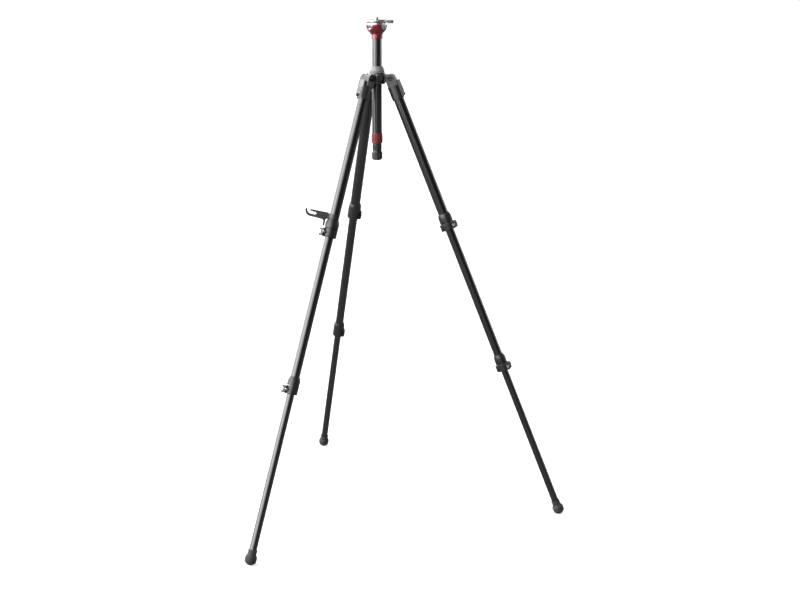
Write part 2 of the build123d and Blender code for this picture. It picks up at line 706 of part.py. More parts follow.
leg_pieces = {
    "knuckle": knuckle.part,
    "angle_catch": angle_catch.part,
    "upper_tube": leg_tube(upper_tube_radius, tube_top, upper_tube_end),
    "middle_tube": leg_tube(middle_tube_radius, middle_tube_top, middle_tube_end),
    "lower_tube": leg_tube(lower_tube_radius, lower_tube_top, lower_tube_end),
    "middle_tube_bush": guide_bush(middle_tube_radius, middle_tube_top),
    "lower_tube_bush": guide_bush(lower_tube_radius, lower_tube_top),
    "upper_clamp": lever_clamp(upper_tube_radius, middle_tube_radius, upper_stage),
    "lower_clamp": lever_clamp(middle_tube_radius, lower_tube_radius, lower_clamp_end),
    "upper_clamp_screw": clamp_screw(upper_tube_radius, upper_stage),
    "lower_clamp_screw": clamp_screw(middle_tube_radius, lower_clamp_end),
    "upper_lever": flip_lever(upper_tube_radius, upper_stage),
    "lower_lever": flip_lever(middle_tube_radius, lower_clamp_end),
    "foot": foot.part,
}


def leg_frame(azimuth):
    """The leg's own frame: origin at its hinge, +Z up along the leg, +X outwards."""
    slope = math.radians(leg_angle)
    turn = math.radians(azimuth)
    up_leg = (-math.sin(slope) * math.cos(turn), -math.sin(slope) * math.sin(turn), math.cos(slope))
    outwards = (math.cos(slope) * math.cos(turn), math.cos(slope) * math.sin(turn), math.sin(slope))
    return Plane(origin=(*polar(hinge_radius, azimuth), hinge_height), x_dir=outwards, z_dir=up_leg)


for side, azimuth in leg_azimuths.items():
    placement = leg_frame(azimuth).location
    for piece_name, piece in leg_pieces.items():
        save(piece.moved(placement), f"{side}_{piece_name}")

# Accessory clip: a snap band round the left leg's upper tube, just above the clamp, with a
# two-pronged jaw. Jaw's outline: distances outside the stem, and heights above the band's middle.
clip_distance = upper_clamp_top - clip_gap - clip_band_height / 2
clip_plane = Plane(origin=(0, 0, -clip_distance), x_dir=(*polar(1, clip_angle), 0),
                   z_dir=(*polar(1, clip_angle - 90), 0))
band_outer = upper_tube_radius + clip_band_wall
stem = upper_tube_radius + clamp_wall + clip_stem_gap
with BuildPart() as accessory_clip:
    with BuildSketch(clip_plane):
        with BuildLine():
            Polyline((band_outer - 1, 10), (stem + 44, 8), (stem + 49, 5.5), (stem + 45, 4), (stem + 31, 3),
                     (stem + 27, 0), (stem + 31, -4.5), (stem + 43, -4.5))
            ThreePointArc((stem + 43, -4.5), (stem + 51.5, -1), (stem + 55, 7.5))
            Line((stem + 55, 7.5), (stem + 59.5, 8.5))
            ThreePointArc((stem + 59.5, 8.5), (stem + 56, -5.5), (stem + 43, -10.5))
            Polyline((stem + 43, -10.5), (stem + 9, -11), (stem + 5.5, -14), (stem + 4.5, -27), (stem, -27),
                     (stem, -9), (band_outer - 1, -6), (band_outer - 1, 10))
        make_face()
    extrude(amount=clip_thickness / 2, both=True)
    ring(0, upper_tube_radius + 0.8, -clip_distance - 40, -clip_distance + 20, mode=Mode.SUBTRACT)
    ring(upper_tube_radius, band_outer, -clip_distance - clip_band_height / 2,
         -clip_distance + clip_band_height / 2)
    # snap opening behind the tube
    with BuildSketch(Plane(origin=(0, 0, -clip_distance - clip_band_height),
                           x_dir=(*polar(1, clip_angle), 0), z_dir=(0, 0, 1))):
        with BuildLine():
            Polyline((0, 0), polar(2 * band_outer, 180 - clip_band_opening / 2),
                     polar(2 * band_outer, 180 + clip_band_opening / 2), close=True)
        make_face()
    extrude(amount=2 * clip_band_height, mode=Mode.SUBTRACT)
save(accessory_clip.part.moved(leg_frame(leg_azimuths["left"]).location), "accessory_clip")
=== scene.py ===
# %% [markdown]
# # A camera tripod with a levelling column
#
# The object stands on three telescopic legs of black anodised tube. Its castings, clamps,
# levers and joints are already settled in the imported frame, in metres, with the floor at
# height 0 and the column on the Z axis. This lesson gives the frame its looks. Round pieces
# are turned again from outlines with real edge roundings, castings are copied from the frame
# and have their edges softened, and what repeats, such as ribs, flutes and threads, is grown
# by Geometry Nodes. Nothing is moved: each new piece rides on the body that it belongs to.

# %% Load the frame
import json
import math

import bmesh
import bpy
from mathutils import Matrix, Vector


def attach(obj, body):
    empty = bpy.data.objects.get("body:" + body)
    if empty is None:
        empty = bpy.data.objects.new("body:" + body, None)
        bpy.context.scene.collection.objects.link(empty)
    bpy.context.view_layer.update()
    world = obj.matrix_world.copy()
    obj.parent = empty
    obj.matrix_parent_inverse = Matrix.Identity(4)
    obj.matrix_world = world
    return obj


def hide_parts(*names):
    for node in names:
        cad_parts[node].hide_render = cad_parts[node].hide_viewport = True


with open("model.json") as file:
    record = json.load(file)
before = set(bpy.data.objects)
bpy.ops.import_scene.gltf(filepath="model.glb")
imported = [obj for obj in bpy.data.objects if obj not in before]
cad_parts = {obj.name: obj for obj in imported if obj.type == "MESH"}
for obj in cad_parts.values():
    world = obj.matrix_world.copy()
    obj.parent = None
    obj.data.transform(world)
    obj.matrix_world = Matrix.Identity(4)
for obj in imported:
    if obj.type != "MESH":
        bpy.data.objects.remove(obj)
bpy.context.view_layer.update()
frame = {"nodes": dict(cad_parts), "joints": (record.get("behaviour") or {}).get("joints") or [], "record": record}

nodes = frame["nodes"]
joints = {joint["name"]: joint for joint in frame["joints"]}
sides = ("left", "right", "rear")
mm = 0.001

# %% [markdown]
# ## Node trees written as expressions
#
# Shader trees and Geometry Nodes trees are both graphs of sockets. Wiring each node by hand
# takes many lines, so two small classes do it: a Wire is a socket that can stand in a Python
# sum or product, and a Tree adds any node from its type, its settings and its inputs. A Finish
# is a tree that feeds one Principled shader.

# %% Wires, trees and finishes
class Wire:
    """A node's output, so that maths on it reads as a Python expression."""

    def __init__(self, tree, socket):
        self.tree = tree
        self.socket = socket

    def __add__(self, other):
        return self.tree.maths("ADD", self, other)

    def __sub__(self, other):
        return self.tree.maths("SUBTRACT", self, other)

    def __rsub__(self, other):
        return self.tree.maths("SUBTRACT", other, self)

    def __mul__(self, other):
        return self.tree.maths("MULTIPLY", self, other)

    def __truediv__(self, other):
        return self.tree.maths("DIVIDE", self, other)

    __radd__ = __add__
    __rmul__ = __mul__


class Tree:
    """A node tree that is filled one node at a time."""

    def __init__(self, nodes_tree):
        self.tree = nodes_tree

    def feed(self, socket, value):
        if isinstance(value, Wire):
            self.tree.links.new(value.socket, socket)
        else:
            socket.default_value = value

    def node(self, kind, settings=None, inputs=None, output=0):
        """Adds a node: settings first, then its sockets' values or links. Returns one output."""
        made = self.tree.nodes.new(kind)
        for key, value in (settings or {}).items():
            setattr(made, key, value)
        for key, value in (inputs or {}).items():
            self.feed(made.inputs[key], value)
        return Wire(self, made.outputs[output])

    def maths(self, operation, first, second=0.0):
        return self.node("ShaderNodeMath", {"operation": operation}, {0: first, 1: second})

    def band(self, value, low, high):
        """0 below low, 1 above high and a smooth step between."""
        return self.node("ShaderNodeMapRange", {"interpolation_type": "SMOOTHSTEP"},
                         {"Value": value, "From Min": low, "From Max": high})


class Finish(Tree):
    """A material with one Principled shader and the patterns that its sockets share."""

    def __init__(self, name, constants):
        self.material = bpy.data.materials.new(name)
        self.material.use_nodes = True
        super().__init__(self.material.node_tree)
        self.shader = self.tree.nodes["Principled BSDF"]
        for socket, value in constants.items():
            self.shader.inputs[socket].default_value = value
        self.place = self.node("ShaderNodeTexCoord", output="Object")

    def noise(self, scale, detail=3.0, rough=0.55, place=None):
        sockets = {"Vector": place or self.place, "Scale": scale, "Detail": detail, "Roughness": rough}
        return self.node("ShaderNodeTexNoise", {}, sockets)

    def stretched(self, place, scale):
        """Coordinates stretched by three factors, for a pattern that runs one way."""
        return self.node("ShaderNodeVectorMath", {"operation": "MULTIPLY"}, {0: place, 1: scale})

    def mix(self, factor, first, second):
        return self.node("ShaderNodeMix", {"data_type": "RGBA"},
                         {0: factor, 6: first, 7: second}, output=2)

    def attribute(self, name):
        return self.node("ShaderNodeAttribute", {"attribute_name": name}, output="Fac")

    def set(self, socket, value):
        self.feed(self.shader.inputs[socket], value)

    def bump(self, height, strength, depth):
        self.set("Normal", self.node("ShaderNodeBump", {}, {
            "Height": height, "Strength": strength, "Distance": depth}))


def grey(level, warm=0.0):
    """A nearly neutral colour, a little warm or cold."""
    return (level * (1 + warm), level, level * (1 - warm), 1.0)


finishes = {}
print("shader helpers ready")

# %% [markdown]
# ## Camera
#
# The view is that of a person standing a little over three metres away, looking down a few
# degrees. A slightly long lens keeps the legs from splaying. The camera could be aimed with a
# constraint, but a direction worked out once from a heading and a pitch is easier to repeat,
# and leaves nothing live in the scene.

# %% Camera
camera_azimuth = math.radians(-110.42)
camera_distance = 3.337
camera_height = 1.4056
camera_heading = math.radians(68.469)
camera_pitch = math.radians(-13.056)
camera_lens = 52.9

camera_data = bpy.data.cameras.new("studio_camera")
camera_data.lens = camera_lens
camera_data.sensor_width = 36.0
camera = bpy.data.objects.new("studio_camera", camera_data)
bpy.context.scene.collection.objects.link(camera)
camera.location = (
    camera_distance * math.cos(camera_azimuth),
    camera_distance * math.sin(camera_azimuth),
    camera_height,
)
look = Vector((
    math.cos(camera_heading) * math.cos(camera_pitch),
    math.sin(camera_heading) * math.cos(camera_pitch),
    math.sin(camera_pitch),
))
camera.rotation_mode = "QUATERNION"
camera.rotation_quaternion = look.to_track_quat("-Z", "Y")
bpy.context.scene.camera = camera
print("camera at", [round(v, 3) for v in camera.location])

# %% [markdown]
# ## Studio
#
# Black glossy tubes are seen by what they reflect. In an all-white room they would turn grey,
# and with lamps in a black room they would lose their outline. So the room has two faces. The
# camera sees a plain white floor and wall. Everything else sees a dim room with one very wide
# soft panel on the left, a narrow one on the right and a pale wall behind the tripod. The
# panels are smooth steps in the world's brightness by direction, which gives even pale strips
# along every tube; one real soft box on the left adds soft shading on the castings.

# %% Floor, room and soft box
scene = bpy.context.scene
scene.view_settings.view_transform = "Standard"


def level_direction(azimuth):
    """A horizontal unit vector."""
    return (math.cos(azimuth), math.sin(azimuth), 0.0)


# azimuth, start and end of the smooth step, brightness
panels = (
    (camera_heading + math.radians(95), -0.02, 0.42, 4.6),
    (camera_heading - math.radians(72), 0.90, 0.97, 1.6),
    (camera_heading, 0.25, 0.75, 0.8),
)
room_level = 0.04
floor_dark = grey(0.14)
floor_pale = grey(0.5)
floor_glow = 0.62
floor_size = 60.0
soft_box_width = 1.2
soft_box_height = 2.4
soft_box_watts = 40
soft_box_distance = 2.6
soft_box_centre = 1.5
soft_box_aim = 0.8

world = bpy.data.worlds.new("studio_world")
world.use_nodes = True
room = Tree(world.node_tree)
direction = room.node("ShaderNodeTexCoord", output="Generated")
for_camera = room.node("ShaderNodeLightPath", output="Is Camera Ray")
glow = room_level
for azimuth, low, high, level in panels:
    facing = room.node("ShaderNodeVectorMath", {"operation": "DOT_PRODUCT"},
                       {0: direction, 1: level_direction(azimuth)}, "Value")
    glow = room.band(facing, low, high) * level + glow
background = world.node_tree.nodes["Background"]
background.inputs["Color"].default_value = (1.0, 1.0, 1.0, 1)
room.feed(background.inputs["Strength"], glow + for_camera * (1.0 - glow))
scene.world = world

half = floor_size / 2
floor_corners = [(-half, -half, 0), (half, -half, 0), (half, half, 0), (-half, half, 0)]
floor_mesh = bpy.data.meshes.new("studio_floor")
floor_mesh.from_pydata(floor_corners, [], [(0, 1, 2, 3)])
floor = bpy.data.objects.new("studio_floor", floor_mesh)
scene.collection.objects.link(floor)
floor_paint = Finish("floor_paint", {
    "Roughness": 0.9, "Specular IOR Level": 0.0, "Emission Strength": floor_glow})
seen = floor_paint.node("ShaderNodeLightPath", output="Is Camera Ray")
floor_paint.set("Base Color", floor_paint.mix(seen, floor_dark, floor_pale))
floor_paint.set("Emission Color", floor_paint.mix(seen, grey(0.0), grey(1.0)))
floor_mesh.materials.append(floor_paint.material)

lamp_data = bpy.data.lights.new("soft_box", "AREA")
lamp_data.shape = "RECTANGLE"
lamp_data.size = soft_box_width
lamp_data.size_y = soft_box_height
lamp_data.energy = soft_box_watts
soft_box = bpy.data.objects.new("soft_box", lamp_data)
scene.collection.objects.link(soft_box)
lamp_azimuth = camera_heading + math.radians(125)
soft_box.location = Vector(level_direction(lamp_azimuth)) * soft_box_distance
soft_box.location.z = soft_box_centre
soft_box.rotation_mode = "QUATERNION"
lamp_look = Vector((0, 0, soft_box_aim)) - soft_box.location
soft_box.rotation_quaternion = lamp_look.to_track_quat("-Z", "Y")
print("room of", len(panels), "panels and", soft_box.name)

# %% [markdown]
# ## Anodised tube
#
# The tubes are drawn aluminium, anodised black: a smooth dark skin over metal with very fine
# lines along the tube, left by the die. The lines could follow world axes, but the legs slope
# three ways, so they read the piece's own UV map, in metres round and along the tube. Handling
# leaves soft patches in the gloss, which a slow noise gives.

# %% Anodised black aluminium
tube_black = Finish("anodised_black", {
    "Specular IOR Level": 0.5, "Coat Weight": 0.8, "Coat Roughness": 0.12})
along = tube_black.node("ShaderNodeUVMap", {"uv_map": "turned"})
drawn_lines = tube_black.noise(1.0, 2.0, 0.6, tube_black.stretched(along, (2600.0, 14.0, 1.0)))
handling = tube_black.noise(9.0, 4.0, 0.6)
specks = tube_black.band(tube_black.noise(900.0, 2.0, 0.7), 0.66, 0.74)
edge = tube_black.attribute("edge_wear")
base = tube_black.mix(drawn_lines, grey(0.003, 0.02), grey(0.007, -0.04))
base = tube_black.mix(specks * 0.25, base, grey(0.03))
tube_black.set("Base Color", tube_black.mix(edge * handling * 0.5, base, grey(0.25)))
tube_black.set("Roughness", 0.2 + drawn_lines * 0.07 + handling * 0.12)
tube_black.bump(drawn_lines, 0.18, 0.00004)
finishes["anodised"] = tube_black
print("made", tube_black.material.name)

# %% [markdown]
# ## Cast and powder-coated parts
#
# The shoulder and the knuckles are die castings under a fine black powder coat. Powder flows
# into tiny soft pebbles about half a millimetre across, so a fine noise drives the bump, and
# the raised edges, where the coat rubs thin, are a little paler and smoother. The edges are
# known from an attribute that the rounding of each piece writes.

# %% Powder-coated casting
casting = Finish("powder_coat_black", {"Coat Weight": 0.6, "Coat Roughness": 0.22})
pebbles = casting.noise(1500.0, 2.0, 0.5)
cloud = casting.noise(24.0, 4.0, 0.6)
rubbed = casting.attribute("edge_wear") * casting.band(casting.noise(160.0, 4.0, 0.65), 0.42, 0.62)
coat = casting.mix(cloud, grey(0.007, 0.02), grey(0.016, -0.02))
casting.set("Base Color", casting.mix(rubbed * 0.6, coat, grey(0.11)))
casting.set("Roughness", 0.36 - rubbed * 0.12 + cloud * 0.12)
casting.bump(pebbles, 0.55, 0.00012)
finishes["casting"] = casting
print("made", casting.material.name)

# %% [markdown]
# ## Red lacquered casting
#
# The levelling bowl is a casting under clear red lacquer with fine metal flake. One shader can
# be both: the base is a partly metallic red whose brightness flickers with a very fine cell
# noise, and the coat on top is clear and smooth with a slow orange-peel ripple.

# %% Red metallic lacquer
lacquer = Finish("red_lacquer", {"Metallic": 0.45, "Coat Weight": 0.85, "Coat Roughness": 0.1})
flake = lacquer.node("ShaderNodeTexVoronoi", {"feature": "F1"},
                     {"Vector": lacquer.place, "Scale": 2600.0}, "Color")
glint = lacquer.node("ShaderNodeSeparateColor", {}, {"Color": flake})
shade = lacquer.noise(36.0, 3.0, 0.5)
rubbed = lacquer.attribute("edge_wear") * lacquer.band(lacquer.noise(220.0, 4.0, 0.6), 0.45, 0.7)
red = lacquer.mix(glint * 0.6 + shade * 0.3, (0.09, 0.003, 0.009, 1), (0.25, 0.012, 0.026, 1))
lacquer.set("Base Color", lacquer.mix(rubbed * 0.45, red, (0.42, 0.08, 0.1, 1)))
lacquer.set("Roughness", 0.3 + glint * 0.16)
lacquer.bump(lacquer.noise(420.0, 1.0, 0.4), 0.25, 0.00008)
finishes["lacquer"] = lacquer
print("made", lacquer.material.name)

# %% [markdown]
# ## Bare metals
#
# The camera plate is turned aluminium and shows the cutter's rings round the column's axis. The
# rings are a function of the distance from that axis, which the Object coordinates give. The
# screws and pins are zinc-plated steel: brighter, a little blue, with small cloudy stains. The
# pivot caps are blackened steel, which shows bright metal only where its edges are rubbed.

# %% Turned aluminium and plated steel
turned_metal = Finish("turned_aluminium", {"Metallic": 1.0})
axes = turned_metal.stretched(turned_metal.place, (1, 1, 0))
radius_wire = turned_metal.node("ShaderNodeVectorMath", {"operation": "LENGTH"}, {0: axes}, "Value")
cutter = turned_metal.maths("SINE", radius_wire * 16000.0)
stain = turned_metal.noise(60.0, 4.0, 0.6)
turned_metal.set("Base Color", turned_metal.mix(stain, grey(0.56, 0.01), grey(0.74, -0.01)))
turned_metal.set("Roughness", 0.24 + cutter * 0.03 + stain * 0.14)
turned_metal.bump(cutter, 0.12, 0.00002)
finishes["aluminium"] = turned_metal

steel = Finish("plated_steel", {"Metallic": 1.0})
cloud = steel.noise(140.0, 4.0, 0.65)
steel.set("Base Color", steel.mix(cloud, (0.40, 0.41, 0.43, 1), (0.60, 0.61, 0.63, 1)))
steel.set("Roughness", 0.24 + cloud * 0.2)
steel.bump(steel.noise(1800.0, 2.0, 0.5), 0.12, 0.00003)
finishes["steel"] = steel

black_steel = Finish("blackened_steel", {"Metallic": 0.6})
cloud = black_steel.noise(200.0, 4.0, 0.65)
rubbed = black_steel.band(black_steel.noise(260.0, 3.0, 0.6), 0.4, 0.6)
rubbed = black_steel.attribute("edge_wear") * rubbed
bloom = black_steel.mix(cloud, (0.010, 0.010, 0.012, 1), (0.030, 0.030, 0.034, 1))
black_steel.set("Base Color", black_steel.mix(rubbed * 0.5, bloom, grey(0.3)))
black_steel.set("Roughness", 0.3 + cloud * 0.2)
black_steel.bump(cloud, 0.1, 0.00003)
finishes["black_steel"] = black_steel
print("made", turned_metal.material.name, steel.material.name, black_steel.material.name)

# %% [markdown]
# ## Moulded plastics and rubber
#
# Clamps, levers and knobs are glass-filled nylon with a spark-eroded grain. They differ in
# colour and gloss only, so one function makes them all: a grain for the bump, a slow cloud in
# colour and gloss, and edges polished by hands. Rubber is the same recipe with a coarser,
# duller skin.

# %% Moulded finishes
def moulded(name, dark, light, worn, roughness, grain_scale, grain_depth, sheen=0.0):
    """A moulded plastic or rubber skin between two shades, worn on its edges."""
    skin = Finish(name, {"Sheen Weight": sheen})
    grain = skin.noise(grain_scale, 3.0, 0.6)
    slow = skin.noise(42.0, 3.0, 0.55)
    polish = skin.attribute("edge_wear") * skin.band(skin.noise(190.0, 4.0, 0.6), 0.4, 0.65)
    tone = skin.mix(slow * 0.7 + grain * 0.3, dark, light)
    skin.set("Base Color", skin.mix(polish * 0.55, tone, worn))
    skin.set("Roughness", roughness + slow * 0.1 - polish * 0.15)
    skin.bump(grain, 0.4, grain_depth)
    return skin


finishes["nylon"] = moulded(
    "black_nylon", grey(0.008), grey(0.018), grey(0.07), 0.3, 1300.0, 0.00006)
finishes["grey_nylon"] = moulded(
    "grey_nylon", grey(0.13, -0.01), grey(0.2, -0.01), grey(0.34), 0.34, 1300.0, 0.00006)
finishes["red_plastic"] = moulded(
    "red_plastic", (0.12, 0.010, 0.012, 1), (0.20, 0.016, 0.020, 1), (0.32, 0.08, 0.08, 1),
    0.36, 1100.0, 0.00005)
finishes["acetal"] = moulded(
    "natural_acetal", grey(0.62, 0.03), grey(0.75, 0.03), grey(0.8, 0.02), 0.42, 900.0, 0.00004)
finishes["rubber"] = moulded(
    "black_rubber", grey(0.009), grey(0.02), grey(0.05), 0.66, 800.0, 0.00015, sheen=0.15)
print("finishes", sorted(finishes))

# %% [markdown]
# ## Level vial
#
# The bubble level is a clear acrylic cup of yellow-green spirit. The cup lets light through,
# and the spirit under it is its own piece, so the cup is clear with a little surface haze and
# the spirit carries the colour.

# %% Clear acrylic and spirit
acrylic = Finish("clear_acrylic", {
    "Base Color": (0.96, 0.98, 0.95, 1), "Transmission Weight": 0.95, "IOR": 1.49})
acrylic.set("Roughness", 0.03 + acrylic.noise(300.0, 3.0, 0.6) * 0.08)
finishes["acrylic"] = acrylic
spirit = Finish("level_spirit", {"Coat Weight": 0.6, "Coat Roughness": 0.05})
depth = spirit.noise(120.0, 2.0, 0.5)
spirit.set("Base Color", spirit.mix(depth, (0.40, 0.58, 0.03, 1), (0.62, 0.75, 0.09, 1)))
spirit.set("Roughness", 0.12 + depth * 0.08)
finishes["spirit"] = spirit
print("made", acrylic.material.name, spirit.material.name)

# %% [markdown]
# ## Where each leg is
#
# The three legs are the same pieces turned about the column, so their outlines are written once
# in the leg's own directions: Z up along the leg, X outwards, Y round the column. The joints
# already hold these directions. A CAD node's box in them gives the heights and radii that the
# turned outlines need, so that a size is never typed twice.

# %% Leg directions and boxes
def leg_place(side):
    """The matrix from a leg's own directions, hinge at the origin, to the frame."""
    hinge = joints[side + "_leg_spread"]
    up = Vector(joints[side + "_middle_slide"]["axis"]).normalized()
    across = -Vector(hinge["axis"]).normalized()
    out = across.cross(up)
    place = Matrix((out, across, up)).transposed().to_4x4()
    place.translation = Vector(hinge["pos_m"])
    return place


def place_box(node, place):
    """A CAD node's lowest and highest corner in a place's directions, in millimetres."""
    back = place.inverted()
    points = [back @ vertex.co for vertex in nodes[node].data.vertices]
    low = [min(p[i] for p in points) / mm for i in range(3)]
    high = [max(p[i] for p in points) / mm for i in range(3)]
    return low, high


upright = Matrix()
leg_places = {side: leg_place(side) for side in sides}
for side in sides:
    low, high = place_box(side + "_upper_tube", leg_places[side])
    print(side, "upper tube", [round(v, 1) for v in low], [round(v, 1) for v in high])

# %% [markdown]
# ## Turning
#
# A lathe piece is an outline of corners, each with its own rounding, turned about an axis. A
# screw modifier could turn it, but building the rings by hand gives three things at no cost:
# a shared vertex at each pole, a UV map in metres for the drawn lines, and exact normals, so
# that flats stay flat up to the start of each rounding. The middle of each outward rounding
# is marked in the edge_wear attribute for the finishes to rub.

# %% Turned pieces
def rounded_outline(corners, ring, soft):
    """Points, outward normals and wear along an outline whose corners are rounded."""
    count = len(corners)
    line = []
    for i, corner in enumerate(corners):
        here = Vector(corner[:2])
        if not ring and i in (0, count - 1):
            line.append((here, Vector((0.0, -1.0 if i == 0 else 1.0)), 0.0))
            continue
        before = Vector(corners[i - 1][:2])
        after = Vector(corners[(i + 1) % count][:2])
        way_in = (here - before).normalized()
        way_out = (after - here).normalized()
        bend = math.atan2(way_in.x * way_out.y - way_in.y * way_out.x, way_in.dot(way_out))
        sign = 1.0 if bend > 0 else -1.0
        rounding = corner[2] if len(corner) > 2 else soft
        reach = rounding * math.tan(abs(bend) / 2)
        reach = min(reach, 0.45 * (here - before).length, 0.45 * (after - here).length)
        radius = reach / max(math.tan(abs(bend) / 2), 1e-6)
        first_normal = Vector((way_in.y, -way_in.x))
        centre = here - way_in * reach - first_normal * sign * radius
        steps = max(2, math.ceil(abs(bend) / math.radians(24)))
        for step in range(steps + 1):
            turn = bend * step / steps
            normal = Vector((
                first_normal.x * math.cos(turn) - first_normal.y * math.sin(turn),
                first_normal.x * math.sin(turn) + first_normal.y * math.cos(turn),
            ))
            wear = 1.0 if sign > 0 and abs(bend) > 0.6 and 0 < step < steps else 0.0
            line.append((centre + normal * sign * radius, normal, wear))
    return line


def turned(name, corners, place=upright, ring=False, steps=72, soft=0.2):
    """A solid turned from (radius, height, rounding) corners in millimetres, anticlockwise."""
    line = rounded_outline(corners, ring, soft)
    vertices, normals, wear, rows = [], [], [], []
    for point, normal, worn in line:
        row = []
        for step in range(1 if point.x < 1e-6 else steps):
            turn = math.pi + 2 * math.pi * step / steps
            around = Vector((math.cos(turn), math.sin(turn), 0.0))
            row.append(len(vertices))
            vertices.append(place @ ((around * point.x + Vector((0, 0, point.y))) * mm))
            facing = around * normal.x + Vector((0, 0, normal.y))
            normals.append((place.to_3x3() @ facing).normalized())
            wear.append(worn)
        rows.append(row)
    faces, maps = [], []
    length = 0.0
    widest = max(point.x for point, _, _ in line) * mm
    pairs = list(range(len(line) - 1)) + ([len(line) - 1] if ring else [])
    for i in pairs:
        j = (i + 1) % len(line)
        low, high = rows[i], rows[j]
        end = length + (line[j][0] - line[i][0]).length * mm
        for step in range(steps):
            u = [2 * math.pi * widest * s / steps for s in (step, step + 1)]
            after = (step + 1) % steps
            if len(low) == 1 and len(high) == 1:
                continue
            if len(low) == 1:
                faces.append((low[0], high[after], high[step]))
                maps.append(((u[0], length), (u[1], end), (u[0], end)))
            elif len(high) == 1:
                faces.append((low[step], low[after], high[0]))
                maps.append(((u[0], length), (u[1], length), (u[0], end)))
            else:
                faces.append((low[step], low[after], high[after], high[step]))
                maps.append(((u[0], length), (u[1], length), (u[1], end), (u[0], end)))
        length = end
    mesh = bpy.data.meshes.new(name)
    mesh.from_pydata(vertices, [], faces)
    layer = mesh.uv_layers.new(name="turned")
    for face, uvs in zip(mesh.polygons, maps):
        face.use_smooth = True
        for loop, uv in zip(face.loop_indices, uvs):
            layer.data[loop].uv = uv
    mesh.attributes.new("edge_wear", "FLOAT", "POINT").data.foreach_set("value", wear)
    mesh.normals_split_custom_set_from_vertices(normals)
    piece = bpy.data.objects.new(name, mesh)
    scene.collection.objects.link(piece)
    return piece


bodies = frame["record"]["behaviour"]["bodies"]
body_of = {node: body for body, members in bodies.items() for node in members}


def settle(piece, finish, node, instead=True):
    """Finishes a piece and lets it ride with a CAD node's body, instead of it or beside it."""
    piece.data.materials.clear()
    piece.data.materials.append(finishes[finish].material)
    if instead:
        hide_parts(node)
    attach(piece, body_of[node])
    return piece


print("turning ready")

# %% [markdown]
# ## Softening a casting
#
# Castings, clamps and levers are not round, so they are copied from the frame. A CAD surface
# has knife edges that never catch the light. The copy is cleaned of the triangles inside its
# flats, a Bevel modifier rounds every edge that turns sharply, and a Weighted Normal modifier
# keeps the flats flat. The bevel marks its new faces with the second material slot, and the
# marks become the edge_wear attribute.

# %% Softened copies
def baked(piece):
    """Makes a piece's modifiers real and leaves a plain mesh."""
    graph = bpy.context.evaluated_depsgraph_get()
    mesh = bpy.data.meshes.new_from_object(piece.evaluated_get(graph), depsgraph=graph)
    piece.modifiers.clear()
    piece.data = mesh
    return piece


def edges_softened(piece, width, segments=2, sharp=32.0):
    """Rounds a plain mesh's sharp edges by a width in millimetres and marks them as worn."""
    mesh = piece.data
    mesh.materials.clear()
    mesh.materials.append(None)
    mesh.materials.append(None)
    bevel = piece.modifiers.new("edges", "BEVEL")
    bevel.width = width * mm
    bevel.segments = segments
    bevel.limit_method = "ANGLE"
    bevel.angle_limit = math.radians(sharp)
    bevel.material = 1
    bevel.use_clamp_overlap = False
    bevel.miter_outer = "MITER_ARC"
    piece.modifiers.new("flats", "WEIGHTED_NORMAL").keep_sharp = True
    mesh = baked(piece).data
    outside = set()
    for face in mesh.polygons:
        if face.material_index == 0:
            outside.update(face.vertices)
        face.material_index = 0
    wear = [0.0 if i in outside else 1.0 for i in range(len(mesh.vertices))]
    mesh.attributes.new("edge_wear", "FLOAT", "POINT").data.foreach_set("value", wear)
    return piece


def softened(node, width):
    """A copy of a CAD node without the triangles in its flats, with its sharp edges rounded."""
    mesh = nodes[node].data.copy()
    work = bmesh.new()
    work.from_mesh(mesh)
    bmesh.ops.remove_doubles(work, verts=work.verts, dist=0.002 * mm)
    bmesh.ops.dissolve_limit(work, angle_limit=math.radians(0.6), verts=work.verts, edges=work.edges)
    for face in work.faces:
        face.smooth = True
        face.material_index = 0
    work.to_mesh(mesh)
    work.free()
    for layer in ("custom_normal", "sharp_edge", "sharp_face"):
        if layer in mesh.attributes:
            mesh.attributes.remove(mesh.attributes[layer])
    piece = bpy.data.objects.new(node + "_shown", mesh)
    scene.collection.objects.link(piece)
    return edges_softened(piece, width)


print("softening ready")

# %% [markdown]
# ## Growing what repeats
#
# Grip ribs, knurls, pads and threads are many copies of one small shape. Copying them by hand
# would fix their number; a Geometry Nodes tree has the number as a named input, with a fixed
# seed for the small differences between ribs. Each tree is run once on an empty mesh and baked,
# so that what stays in the scene is one plain mesh for each body.

